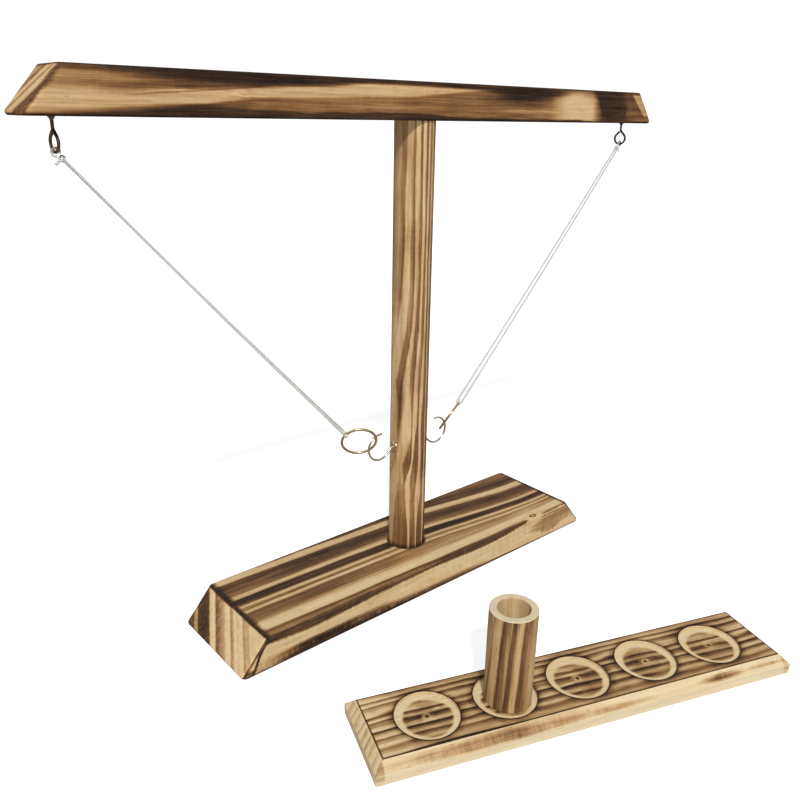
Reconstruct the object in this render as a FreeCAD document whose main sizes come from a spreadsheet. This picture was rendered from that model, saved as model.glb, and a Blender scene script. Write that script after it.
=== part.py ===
"""Ring toss set: a post with a cross beam on a base block, two rings on doubled cords, two hooks on the
post, and a separate drinks ladder board with a wooden cup. Millimetres, +Z up. The origin is the centre of
the base block's underside, and the beam runs along X. The ladder board lies in front of the stand, on -Y.
"""
import FreeCAD, Part
import math
import os
import Sketcher
from FreeCAD import Placement, Rotation, Vector

DIMENSIONS = {
    # base block, with both ends sloped and both sides upright
    "base_length": 422, "base_top_length": 371, "base_width": 98, "base_height": 30,
    "block_corner_radius": 4, "block_edge_radius": 2,
    # post: its foot stands in a socket with a ring gap, its top meets the beam's underside
    "post_diameter": 34, "post_socket_depth": 15, "post_socket_gap": 0.6, "post_edge_chamfer": 0.6,
    # beam, the same form as the base
    "beam_underside": 413.9, "beam_length": 615, "beam_top_length": 566, "beam_width": 38,
    "beam_height": 28.8,
    # countersunk screw up through the base into the post
    "base_screw_length": 50, "base_screw_crest": 5, "base_screw_root": 3.6, "base_screw_head": 10,
    "base_screw_recess": 2, "base_screw_rim": 0.4, "base_screw_clearance": 0.3,
    # double-ended screw hidden in the joint of post and beam
    "dowel_screw_crest": 5, "dowel_screw_root": 3.6, "dowel_screw_in_post": 28, "dowel_screw_in_beam": 17,
    "wood_thread_pitch": 2.2,
    # screw eyes under the beam's ends
    "eye_left_distance": 284, "eye_right_distance": 281.5, "eye_wire": 2.1, "eye_loop_radius": 5.45,
    "eye_loop_drop": 14.95, "eye_neck_drop": 7.4, "eye_bend_radius": 1.7, "eye_collar_diameter": 4.8,
    "eye_collar_height": 2, "eye_thread_length": 14,
    "small_thread_pitch": 1.1, "small_thread_root": 1.5, "eye_left_turn": 84, "eye_right_turn": 78,
    # cup hooks on the post, each with a domed brass flange
    "hook_height": 132.4, "hook_wire": 2, "hook_loop_radius": 12.3, "hook_loop_offset": 34.2,
    "hook_loop_rise": 3.9, "hook_bend_radius": 3.5, "hook_tip_angle": 98, "hook_thread_length": 13,
    "flange_diameter": 9.6, "flange_height": 2.2, "flange_rim": 0.5,
    # rings: centre, the turn and tilt of the ring's axis, and where the cord holds it
    "ring_radius": 15.3, "ring_wire": 2.4,
    "ring_left_x": -52.79, "ring_left_y": 6.07, "ring_left_z": 144.75, "ring_left_turn": 31.16,
    "ring_left_tilt": 25.05, "ring_left_hold": -51.75,
    "ring_right_x": 53.48, "ring_right_y": 1.52, "ring_right_z": 146.01, "ring_right_turn": -32.05,
    "ring_right_tilt": 31.55, "ring_right_hold": 24,
    # cords: each is doubled, with one knot at the eye and one hitch on the ring
    "cord_diameter": 2, "cord_gap": 0.45, "knot_diameter": 4.8, "knot_drop": 4.9, "knot_tail": 6,
    "strand_offset_top": 1.15, "strand_offset_ring": 2.2, "strand_left_twist": 39.2,
    "strand_right_twist": 0, "cord_sag": 1.6, "hitch_diameter": 6.4, "hitch_length": 4.4, "hitch_bore": 3,
    # ladder board with a row of shallow recesses, and the cup that stands in the second one
    "board_length": 351, "board_width": 74, "board_thickness": 15, "board_bevel": 7,
    "board_edge_radius": 0.8,
    "board_x": -14.8, "board_y": -219.8, "board_turn": -20.1,
    "recess_diameter": 48, "recess_depth": 1.6, "recess_pitch": 62.2, "recess_count": 5,
    "recess_row_x": -0.5, "recess_row_y": -1.1,
    "drill_mark_diameter": 3, "drill_mark_depth": 1.5,
    "cup_diameter": 35.6, "cup_height": 77.6, "cup_bore": 24.4, "cup_depth": 69, "cup_edge_radius": 0.6,
    "cup_recess": 2, "cup_offset_x": 1.7, "cup_offset_y": -0.5,
}

doc = FreeCAD.newDocument("RingTossSet")
sheet = doc.addObject("Spreadsheet::Sheet", "dims")
for row, (alias, value) in enumerate(DIMENSIONS.items(), start=1):
    sheet.set(f"A{row}", alias)
    sheet.set(f"B{row}", str(value))
    sheet.setAlias(f"B{row}", alias)
doc.recompute()

SUB_PARTS = []
X_AXIS, Y_AXIS, Z_AXIS = Vector(1, 0, 0), Vector(0, 1, 0), Vector(0, 0, 1)


def dim(alias):
    """One size from the sheet."""
    return float(getattr(sheet, alias))


# ---------------------------------------------------------------- helpers for the PartDesign sub-parts

def new_body(label):
    body = doc.addObject("PartDesign::Body", label)
    body.Label = label
    SUB_PARTS.append(body)
    return body


def new_sketch(body, name, plane):
    """An empty sketch on one of the body's own origin planes."""
    sketch = body.newObject("Sketcher::SketchObject", name)
    support = next(item for item in body.Origin.OriginFeatures if item.Role == plane)
    sketch.AttachmentSupport = (support, "")
    sketch.MapMode = "FlatFace"
    return sketch


def outline(sketch, corners):
    """A closed outline of straight lines. Each corner is a pair of expressions that read the sheet."""
    values = [tuple(float(sketch.evalExpression(text)) for text in corner) for corner in corners]
    count = len(values)
    for index in range(count):
        start, end = Vector(*values[index], 0), Vector(*values[(index + 1) % count], 0)
        sketch.addGeometry(Part.LineSegment(start, end), False)
    for index in range(count):
        sketch.addConstraint(Sketcher.Constraint("Coincident", index, 2, (index + 1) % count, 1))
    for index, corner in enumerate(corners):
        for kind, text, value in zip(("DistanceX", "DistanceY"), corner, values[index]):
            number = sketch.addConstraint(Sketcher.Constraint(kind, -1, 1, index, 1, value))
            sketch.setExpression(f"Constraints[{number}]", text)


def circle(sketch, x_text, y_text, radius_text):
    """A circle whose centre and radius are expressions that read the sheet."""
    x, y, radius = (float(sketch.evalExpression(text)) for text in (x_text, y_text, radius_text))
    index = sketch.addGeometry(Part.Circle(Vector(x, y, 0), Z_AXIS, radius), False)
    limits = (
        (Sketcher.Constraint("DistanceX", -1, 1, index, 3, x), x_text),
        (Sketcher.Constraint("DistanceY", -1, 1, index, 3, y), y_text),
        (Sketcher.Constraint("Radius", index, radius), radius_text),
    )
    for constraint, text in limits:
        sketch.setExpression(f"Constraints[{sketch.addConstraint(constraint)}]", text)


def feature(body, kind, name, sketch, **expressions):
    """A PartDesign feature on a sketch, with its sizes bound to the sheet."""
    made = body.newObject(f"PartDesign::{kind}", name)
    made.Profile = sketch
    for prop, text in expressions.items():
        made.setExpression(prop, text)
    return made


def edges_where(shape, test):
    """Names of the shape's edges for which test(edge) is true."""
    return [f"Edge{number}" for number, edge in enumerate(shape.Edges, start=1) if test(edge)]


def edge_feature(body, kind, name, base, edges, size_text):
    """A Fillet or Chamfer on named edges of the feature below it."""
    made = body.newObject(f"PartDesign::{kind}", name)
    made.Base = (base, edges)
    made.setExpression("Radius" if kind == "Fillet" else "Size", size_text)
    doc.recompute()
    return made


def revolve_about_z(body, kind, name, sketch):
    """A full turn of a profile in the XZ plane about the body's Z axis."""
    made = body.newObject(f"PartDesign::{kind}", name)
    made.Profile = sketch
    made.ReferenceAxis = (sketch, ["V_Axis"])
    made.Angle = 360
    return made


def bore(body, name, plane, place, centres, radius_text, depth_text, reverse):
    """Round holes of one depth, drilled from a plane that is moved along its normal by place."""
    sketch = new_sketch(body, f"{name}_sketch", plane)
    sketch.setExpression("AttachmentOffset.Base.z", place)
    for x_text, y_text in centres:
        circle(sketch, x_text, y_text, radius_text)
    pocket = feature(body, "Pocket", name, sketch, Length=depth_text)
    pocket.Reversed = reverse
    before = body.Shape.Volume
    doc.recompute()
    if body.Shape.Volume >= before:
        raise RuntimeError(f"{name} cuts nothing")
    return pocket


# ---------------------------------------------------------------- helpers for the Part sub-parts

def add_solid(label, shape):
    item = doc.addObject("Part::Feature", label)
    item.Label = label
    item.Shape = shape
    SUB_PARTS.append(item)
    return item


def rounded_wire(points, radii):
    """Straight runs through the points, joined by tangent arcs of the given radii at the inner points."""
    edges, start = [], points[0]
    for before, corner, after, radius in zip(points, points[1:], points[2:], radii):
        incoming, outgoing = (corner - before).normalize(), (after - corner).normalize()
        turn = incoming.getAngle(outgoing)
        reach = radius * math.tan(turn / 2)
        first, last = corner - incoming * reach, corner + outgoing * reach
        to_centre = (outgoing - incoming).normalize()
        middle = corner + to_centre * (radius / math.cos(turn / 2) - radius)
        edges += [Part.LineSegment(start, first).toShape(), Part.Arc(first, middle, last).toShape()]
        start = last
    edges.append(Part.LineSegment(start, points[-1]).toShape())
    return Part.Wire(edges)


def tube(wire, diameter):
    """A round solid of the given diameter along a wire."""
    first = wire.OrderedEdges[0]
    start = first.valueAt(first.FirstParameter)
    tangent = first.tangentAt(first.FirstParameter)
    profile = Part.Wire(Part.makeCircle(diameter / 2, start, tangent))
    return wire.makePipeShell([profile], True, False)


def thread(crest, root, pitch, length, tip):
    """A screw thread along +Z from the origin, as ridges on a core, ending in a point of height tip."""
    points = [Vector(0, 0, 0), Vector(root / 2, 0, 0)]
    ridges = int((length - tip) / pitch)
    for ridge in range(ridges):
        foot = ridge * pitch
        points += [Vector(root / 2, 0, foot + 0.25 * pitch), Vector(crest / 2, 0, foot + 0.55 * pitch),
                   Vector(crest / 2, 0, foot + 0.65 * pitch), Vector(root / 2, 0, foot + 0.95 * pitch)]
    points += [Vector(root / 2, 0, length - tip), Vector(root * 0.1, 0, length), Vector(0, 0, length)]
    return Part.Face(Part.makePolygon(points + points[:1])).revolve(Vector(), Z_AXIS, 360)


def placed(shape, base, direction):
    """A copy of a shape made along +Z, moved to base and turned to point along direction."""
    copy = shape.copy()
    copy.Placement = Placement(base, Rotation(Z_AXIS, direction)).multiply(copy.Placement)
    return copy


def fused(first, *others):
    return first.multiFuse(list(others)).removeSplitter()


# ---------------------------------------------------------------- wood

def hipped_block(label, length, top_length, width, height, underside):
    """A long block with upright sides and ends that slope in towards the top, softly rounded."""
    body = new_body(label)
    sketch = new_sketch(body, f"{label}_side_view", "XZ_Plane")
    top = f"{underside} + dims.{height}"
    outline(sketch, [(f"-dims.{length} / 2", underside), (f"dims.{length} / 2", underside),
                     (f"dims.{top_length} / 2", top), (f"-dims.{top_length} / 2", top)])
    block = feature(body, "Pad", f"{label}_block", sketch, Length=f"dims.{width}")
    block.SideType = "Symmetric"
    doc.recompute()
    slanted = edges_where(block.Shape, lambda edge: abs(edge.tangentAt(edge.FirstParameter).z) > 0.1)
    corners = edge_feature(body, "Fillet", f"{label}_corners", block, slanted, "dims.block_corner_radius")
    flat = edges_where(corners.Shape, lambda edge: edge.BoundBox.ZLength < 0.01)
    edge_feature(body, "Fillet", f"{label}_edges", corners, flat, "dims.block_edge_radius")
    return body


def base():
    """The base block, with the post's socket above and the screw's countersunk hole below."""
    body = hipped_block("base", "base_length", "base_top_length", "base_width", "base_height", "0")
    sketch = new_sketch(body, "base_hole_profile", "XZ_Plane")
    shank = "dims.base_screw_crest / 2 + dims.base_screw_clearance"
    head = "dims.base_screw_head / 2 + dims.base_screw_clearance"
    socket = "dims.post_diameter / 2 + dims.post_socket_gap"
    floor = "dims.base_height - dims.post_socket_depth"
    cone_start = "dims.base_screw_recess + dims.base_screw_rim"
    cone_end = f"{cone_start} + {head} - ({shank})"
    outline(sketch, [("0", "-1"), (head, "-1"), (head, cone_start), (shank, cone_end),
                     (shank, floor), (socket, floor), (socket, "dims.base_height + 1"),
                     ("0", "dims.base_height + 1")])
    revolve_about_z(body, "Groove", "base_holes", sketch)
    doc.recompute()


def post():
    """The round post, drilled at both ends for its screws and on both sides for the hooks."""
    body = new_body("post")
    sketch = new_sketch(body, "post_half_profile", "XZ_Plane")
    radius, chamfer = "dims.post_diameter / 2", "dims.post_edge_chamfer"
    bottom, top = "dims.base_height - dims.post_socket_depth", "dims.beam_underside"
    base_bore, dowel_bore = "dims.base_screw_crest / 2", "dims.dowel_screw_crest / 2"
    base_bore_end = "dims.base_screw_recess + dims.base_screw_length + 1"
    dowel_bore_end = f"{top} - dims.dowel_screw_in_post - 1"
    outline(sketch, [(base_bore, bottom), (f"{radius} - {chamfer}", bottom),
                     (radius, f"{bottom} + {chamfer}"), (radius, top), (dowel_bore, top),
                     (dowel_bore, dowel_bore_end), ("0", dowel_bore_end), ("0", base_bore_end),
                     (base_bore, base_bore_end)])
    revolve_about_z(body, "Revolution", "post_turning", sketch)
    doc.recompute()
    hole_end = "dims.post_diameter / 2 - dims.hook_thread_length - 0.5"
    depth = "dims.hook_thread_length + 2"
    centre = [("0", "dims.hook_height")]
    bore(body, "hook_hole_right", "YZ_Plane", hole_end, centre, "dims.hook_wire / 2", depth, True)
    bore(body, "hook_hole_left", "YZ_Plane", f"-({hole_end})", centre, "dims.hook_wire / 2", depth, False)


def beam():
    """The cross beam, drilled from below for the post's screw and the two screw eyes."""
    body = hipped_block("beam", "beam_length", "beam_top_length", "beam_width", "beam_height",
                        "dims.beam_underside")
    bore(body, "dowel_screw_hole", "XY_Plane", "dims.beam_underside", [("0", "0")],
         "dims.dowel_screw_crest / 2", "dims.dowel_screw_in_beam + 1", True)
    bore(body, "eye_holes", "XY_Plane", "dims.beam_underside",
         [("-dims.eye_left_distance", "0"), ("dims.eye_right_distance", "0")],
         "dims.eye_wire / 2", "dims.eye_thread_length + 0.5", True)


def ladder_board():
    """The bevelled board with its row of round recesses, each with the drill's centre mark."""
    body = new_body("ladder_board")
    sketch = new_sketch(body, "board_outline", "XY_Plane")
    half_length, half_width = "dims.board_length / 2", "dims.board_width / 2"
    outline(sketch, [(f"-{half_length}", f"-{half_width}"), (half_length, f"-{half_width}"),
                     (half_length, half_width), (f"-{half_length}", half_width)])
    slab = feature(body, "Pad", "board_slab", sketch, Length="dims.board_thickness")
    doc.recompute()
    top = dim("board_thickness")
    rim = edges_where(slab.Shape, lambda edge: edge.BoundBox.ZMin > top - 0.01)
    bevel = edge_feature(body, "Chamfer", "board_bevel", slab, rim, "dims.board_bevel")
    below = top - dim("board_bevel") + 0.01
    upright = edges_where(bevel.Shape, lambda edge: edge.BoundBox.ZMax < below and edge.BoundBox.ZLength > 1)
    edge_feature(body, "Fillet", "board_edges", bevel, upright, "dims.board_edge_radius")

    first = "dims.recess_row_x - dims.recess_pitch * (dims.recess_count - 1) / 2"
    count = int(dim("recess_count"))
    centres = [(f"{first} + dims.recess_pitch * {index}", "dims.recess_row_y") for index in range(count)]
    bore(body, "recesses", "XY_Plane", "dims.board_thickness", centres, "dims.recess_diameter / 2",
         "dims.recess_depth", False)
    bore(body, "drill_marks", "XY_Plane", "dims.board_thickness - dims.recess_depth", centres,
         "dims.drill_mark_diameter / 2", "dims.drill_mark_depth", False)
    body.setExpression("Placement.Base.x", "dims.board_x")
    body.setExpression("Placement.Base.y", "dims.board_y")
    body.setExpression("Placement.Rotation.Angle", "dims.board_turn")
    return body


def cup():
    """The wooden cup: a length of dowel with a deep flat-bottomed bore. It stands on the second recess's
    floor, a little off its centre."""
    body = new_body("cup")
    sketch = new_sketch(body, "cup_half_profile", "XZ_Plane")
    outer, inner = "dims.cup_diameter / 2", "dims.cup_bore / 2"
    floor = "dims.cup_height - dims.cup_depth"
    outline(sketch, [("0", "0"), (outer, "0"), (outer, "dims.cup_height"), (inner, "dims.cup_height"),
                     (inner, floor), ("0", floor)])
    turning = revolve_about_z(body, "Revolution", "cup_turning", sketch)
    doc.recompute()
    floor_height = dim("cup_height") - dim("cup_depth")
    rims = edges_where(turning.Shape, lambda edge: edge.BoundBox.ZLength < 0.01
                       and edge.BoundBox.XLength > 1 and abs(edge.BoundBox.ZMin - floor_height) > 0.1)
    edge_feature(body, "Fillet", "cup_rims", turning, rims, "dims.cup_edge_radius")
    recess = "dims.recess_pitch * (dims.cup_recess - (dims.recess_count + 1) / 2)"
    along = f"({recess} + dims.recess_row_x + dims.cup_offset_x)"
    across = "(dims.recess_row_y + dims.cup_offset_y)"
    turn = "dims.board_turn"
    body.setExpression("Placement.Base.x", f"dims.board_x + {along} * cos({turn}) - {across} * sin({turn})")
    body.setExpression("Placement.Base.y", f"dims.board_y + {along} * sin({turn}) + {across} * cos({turn})")
    body.setExpression("Placement.Base.z", "dims.board_thickness - dims.recess_depth")
    return body


# ---------------------------------------------------------------- screws, eyes and hooks

def base_screw():
    """Countersunk cross-head screw from below, through the base into the post."""
    head, crest, root = dim("base_screw_head"), dim("base_screw_crest"), dim("base_screw_root")
    rim = dim("base_screw_rim")
    cone_end = rim + (head - crest) / 2
    length, pitch = dim("base_screw_length"), dim("wood_thread_pitch")
    shank_end = dim("base_height") - dim("post_socket_depth") - dim("base_screw_recess")
    profile = [Vector(0, 0, 0), Vector(head / 2, 0, 0), Vector(head / 2, 0, rim),
               Vector(crest / 2, 0, cone_end), Vector(crest / 2, 0, shank_end), Vector(0, 0, shank_end)]
    shank = Part.Face(Part.makePolygon(profile + profile[:1])).revolve(Vector(), Z_AXIS, 360)
    screw_thread = thread(crest, root, pitch, length - shank_end, 3)
    screw_thread.translate(Vector(0, 0, shank_end))
    slot_width, slot_length, slot_depth = 1.2, 5, 2.4
    for long_x, long_y in ((slot_length, slot_width), (slot_width, slot_length)):
        slot = Part.makeBox(long_x, long_y, slot_depth, Vector(-long_x / 2, -long_y / 2, 0))
        shank = shank.cut(slot)
    screw = fused(shank, screw_thread)
    screw.translate(Vector(0, 0, dim("base_screw_recess")))
    add_solid("base_screw", screw)


def dowel_screw():
    """Double-ended screw: one thread in the post's top, the other in the beam."""
    crest, root, pitch = dim("dowel_screw_crest"), dim("dowel_screw_root"), dim("wood_thread_pitch")
    joint = Vector(0, 0, dim("beam_underside"))
    lower = placed(thread(crest, root, pitch, dim("dowel_screw_in_post"), 3), joint, -Z_AXIS)
    upper = placed(thread(crest, root, pitch, dim("dowel_screw_in_beam"), 3), joint, Z_AXIS)
    add_solid("dowel_screw", fused(lower, upper))


def screw_eye(side, sign):
    """Wire screw eye under one end of the beam: thread, collar, neck and a drop-shaped loop."""
    wire, loop, bend = dim("eye_wire"), dim("eye_loop_radius"), dim("eye_bend_radius")
    drop, neck_drop = dim("eye_loop_drop"), dim("eye_neck_drop")
    spread = math.acos(loop / (drop - neck_drop))
    centre, neck = Vector(0, 0, -drop), Vector(0, 0, -neck_drop)
    on_loop = Vector(loop * math.sin(spread), 0, loop * math.cos(spread))
    first = centre + on_loop
    last = centre + Vector(-on_loop.x, 0, on_loop.z)
    shaft = rounded_wire([Vector(), neck, first], [bend])
    arc = Part.Arc(first, centre - Z_AXIS * loop, last).toShape()
    end = neck - (neck - last).normalize() * wire * 0.7
    eye_wire = Part.Wire(shaft.Edges + [arc, Part.LineSegment(last, end).toShape()])
    collar = Part.makeCone(wire / 2, dim("eye_collar_diameter") / 2, dim("eye_collar_height"),
                           Vector(0, 0, -dim("eye_collar_height")), Z_AXIS)
    screw = thread(wire, dim("small_thread_root"), dim("small_thread_pitch"), dim("eye_thread_length"), 2.5)
    shape = fused(tube(eye_wire, wire), collar, screw)
    shape.rotate(Vector(), Z_AXIS, -dim(f"eye_{side}_turn"))
    shape.translate(Vector(sign * dim(f"eye_{side}_distance"), 0, dim("beam_underside")))
    add_solid(f"screw_eye_{side}", shape)


def hook(side, sign):
    """Cup hook: thread in the post, a short bend down and a round hook that is open at the top, and
    the domed brass flange that it is screwed up against."""
    wire, loop, height = dim("hook_wire"), dim("hook_loop_radius"), dim("hook_height")
    surface = dim("post_diameter") / 2
    centre = Vector(dim("hook_loop_offset"), 0, height + dim("hook_loop_rise"))

    def on_loop(degrees):
        angle = math.radians(degrees)
        return centre + Vector(loop * math.cos(angle), 0, loop * math.sin(angle))

    start_angle, tip_angle = 225, 360 + dim("hook_tip_angle")
    touch, tip = on_loop(start_angle), on_loop(tip_angle)
    bend = Vector(touch.x - (height - touch.z), 0, height)
    shaft = rounded_wire([Vector(surface - 1, 0, height), bend, touch], [dim("hook_bend_radius")])
    arc = Part.Arc(touch, on_loop((start_angle + tip_angle) / 2), tip).toShape()
    body = tube(Part.Wire(shaft.Edges + [arc]), wire)
    screw = placed(thread(wire, dim("small_thread_root"), dim("small_thread_pitch"),
                          dim("hook_thread_length") - 1, 2.5), Vector(surface - 1, 0, height), -X_AXIS)
    shape = fused(body, screw, Part.makeSphere(wire / 2, tip))

    radius, rim, dome = dim("flange_diameter") / 2, dim("flange_rim"), dim("flange_height")
    inner = wire / 2
    seat = -1.2
    rise = dome - rim
    half_way = Vector(inner + (radius - inner) * 0.72, 0, rim + rise * 0.66)
    edges = [Part.LineSegment(Vector(inner, 0, seat), Vector(radius, 0, seat)).toShape(),
             Part.LineSegment(Vector(radius, 0, seat), Vector(radius, 0, rim)).toShape(),
             Part.Arc(Vector(radius, 0, rim), half_way, Vector(inner, 0, dome)).toShape(),
             Part.LineSegment(Vector(inner, 0, dome), Vector(inner, 0, seat)).toShape()]
    flange = Part.Face(Part.Wire(edges)).revolve(Vector(), Z_AXIS, 360)
    flange = placed(flange, Vector(surface, 0, height), X_AXIS)
    post_solid = Part.makeCylinder(surface, 20, Vector(0, 0, height - 10))
    flange = flange.cut(post_solid)

    for item in (shape, flange):
        item.rotate(Vector(), Z_AXIS, 0 if sign > 0 else 180)
    add_solid(f"hook_{side}", shape)
    add_solid(f"hook_flange_{side}", flange)


# ---------------------------------------------------------------- rings and cords

def ring_frame(side):
    """The ring's centre, its axis, the point of its wire that the cord holds, and the wire's
    direction there."""
    centre = Vector(*(dim(f"ring_{side}_{axis}") for axis in "xyz"))
    turn, tilt = math.radians(dim(f"ring_{side}_turn")), math.radians(dim(f"ring_{side}_tilt"))
    axis = Vector(math.sin(turn) * math.cos(tilt), math.cos(turn) * math.cos(tilt), math.sin(tilt))
    highest = (Z_AXIS - axis * axis.z).normalize()
    level = axis.cross(highest)
    angle = math.radians(dim(f"ring_{side}_hold"))
    outward = highest * math.cos(angle) + level * math.sin(angle)
    return centre, axis, centre + outward * dim("ring_radius"), axis.cross(outward)


def ring(side):
    """Plain round metal ring, hanging on its hook."""
    centre, axis, _, _ = ring_frame(side)
    item = doc.addObject("Part::Torus", f"ring_{side}")
    item.Label = f"ring_{side}"
    item.setExpression("Radius1", "dims.ring_radius")
    item.setExpression("Radius2", "dims.ring_wire / 2")
    item.Placement = Placement(centre, Rotation(Z_AXIS, axis))
    SUB_PARTS.append(item)


def strand_route(start, end, sag):
    """A nearly straight strand: two inner points hang a little below the straight line."""
    run = end - start
    return [start, start + run * 0.36 - Z_AXIS * sag, start + run * 0.7 - Z_AXIS * sag * 0.8, end]


def cord(side, sign):
    """One doubled cord: the knot with its loop through the eye, two strands, and the hitch on the ring."""
    diameter, knot_radius = dim("cord_diameter"), dim("knot_diameter") / 2
    eye_bottom = Vector(sign * dim(f"eye_{side}_distance"), 0,
                        dim("beam_underside") - dim("eye_loop_drop") - dim("eye_loop_radius"))
    _, ring_axis, hold, tangent = ring_frame(side)
    to_eye = (eye_bottom - hold).normalize()
    knot_centre = eye_bottom - to_eye * dim("knot_drop")

    turn = math.radians(dim(f"eye_{side}_turn"))
    eye_wire_direction = Vector(math.cos(turn), -math.sin(turn), 0)
    loop_radius = dim("eye_wire") / 2 + dim("cord_gap") + diameter / 2
    loop = Part.makeTorus(loop_radius, diameter / 2, eye_bottom, eye_wire_direction)
    tail = Part.makeCylinder(diameter / 2, dim("knot_tail"), knot_centre, Vector(sign * 0.76, 0, -0.65))
    knot = fused(loop, Part.makeSphere(knot_radius, knot_centre, to_eye), tail)
    add_solid(f"eye_knot_{side}", knot)

    half = dim("hitch_length") / 2
    hitch = Part.makeCylinder(dim("hitch_diameter") / 2, 2 * half, hold - tangent * half, tangent)
    hitch = hitch.makeFillet(0.9, [edge for edge in hitch.Edges if edge.Closed])
    ends = knot.fuse(hitch)
    bore_tool = Part.makeCylinder(dim("hitch_bore") / 2, 4 * half, hold - tangent * 2 * half, tangent)
    add_solid(f"ring_hitch_{side}", hitch.cut(bore_tool))

    across = (ring_axis - to_eye * ring_axis.dot(to_eye)).normalize()
    across_top = Rotation(to_eye, dim(f"strand_{side}_twist")).multVec(across)
    for name, way in (("a", 1), ("b", -1)):
        start = knot_centre + across_top * way * dim("strand_offset_top")
        end = hold + across * way * dim("strand_offset_ring")
        points = strand_route(start, end, dim("cord_sag"))
        radii = []
        for before, corner, after in zip(points, points[1:], points[2:]):
            angle = (corner - before).getAngle(after - corner)
            shorter = min((corner - before).Length, (after - corner).Length)
            radii.append(0.45 * shorter / math.tan(angle / 2))
        wire = rounded_wire(points, radii)
        whole = tube(wire, diameter)
        section = math.pi * diameter ** 2 / 4
        print(f"cord_{side}_{name}: length {wire.Length:.1f}, radii {[round(r) for r in radii]},",
              f"volume / (section x length) {whole.Volume / (section * wire.Length):.4f}")
        print("  route", [tuple(round(value, 2) for value in point) for point in points])
        add_solid(f"cord_{side}_{name}", whole.cut(ends))


# ---------------------------------------------------------------- the set

base()
post()
beam()
base_screw()
dowel_screw()
for side, sign in (("left", -1), ("right", 1)):
    screw_eye(side, sign)
    hook(side, sign)
    ring(side)
    cord(side, sign)
ladder_board()
cup()
doc.recompute()

for item in doc.Objects:
    if {"Invalid", "Error"} & set(item.State):
        raise RuntimeError(f"{item.Label} is {item.State}")
for item in SUB_PARTS:
    if item.Shape.isNull() or not item.Shape.isValid():
        raise RuntimeError(f"{item.Label} has no valid shape")

os.makedirs("parts", exist_ok=True)
for item in SUB_PARTS:
    item.Shape.exportStep(f"parts/{item.Label}.step")
    print(f"{item.Label}: {len(item.Shape.Solids)} solid, {item.Shape.Volume:.0f} mm3")
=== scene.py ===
"""Looks for the ring toss set: scorched pine, brass rings and hooks, twisted cotton cord. Metres, row frame."""
import bpy
import math
import random
from mathutils import Matrix, Vector


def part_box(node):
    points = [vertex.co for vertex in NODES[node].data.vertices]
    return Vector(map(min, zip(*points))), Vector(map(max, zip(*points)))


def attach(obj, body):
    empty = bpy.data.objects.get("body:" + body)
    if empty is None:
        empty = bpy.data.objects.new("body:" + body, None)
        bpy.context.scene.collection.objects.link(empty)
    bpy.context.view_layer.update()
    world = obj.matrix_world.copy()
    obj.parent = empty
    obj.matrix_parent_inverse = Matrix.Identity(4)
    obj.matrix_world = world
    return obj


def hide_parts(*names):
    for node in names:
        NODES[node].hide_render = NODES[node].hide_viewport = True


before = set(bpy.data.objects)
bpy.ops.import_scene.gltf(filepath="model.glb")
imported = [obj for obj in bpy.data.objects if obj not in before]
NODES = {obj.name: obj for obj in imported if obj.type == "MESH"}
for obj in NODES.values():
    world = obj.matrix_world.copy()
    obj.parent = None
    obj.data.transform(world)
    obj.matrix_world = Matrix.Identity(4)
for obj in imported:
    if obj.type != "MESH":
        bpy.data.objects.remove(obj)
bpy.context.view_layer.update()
MM = 0.001
RAMP_LIMIT = 32  # the most stops that one colour ramp holds


# ---------------------------------------------------------------- shader arithmetic

class Value:
    """A shader socket that can be used in sums."""

    def __init__(self, shader, socket):
        self.shader = shader
        self.socket = socket

    def __add__(self, other):
        return self.shader.math("ADD", self, other)

    def __sub__(self, other):
        return self.shader.math("SUBTRACT", self, other)

    def __rsub__(self, other):
        return self.shader.math("SUBTRACT", other, self)

    def __mul__(self, other):
        return self.shader.math("MULTIPLY", self, other)

    def __truediv__(self, other):
        return self.shader.math("DIVIDE", self, other)

    def __abs__(self):
        return self.shader.math("ABSOLUTE", self)

    __radd__ = __add__
    __rmul__ = __mul__


def fill_ramp(ramp, stops):
    """Give a ramp its (position, red-green-blue) stops."""
    while len(ramp.elements) < len(stops):
        ramp.elements.new(0.5)
    for element, (position, colour) in zip(ramp.elements, stops):
        element.position = position
        element.color = (*colour, 1.0)


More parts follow.
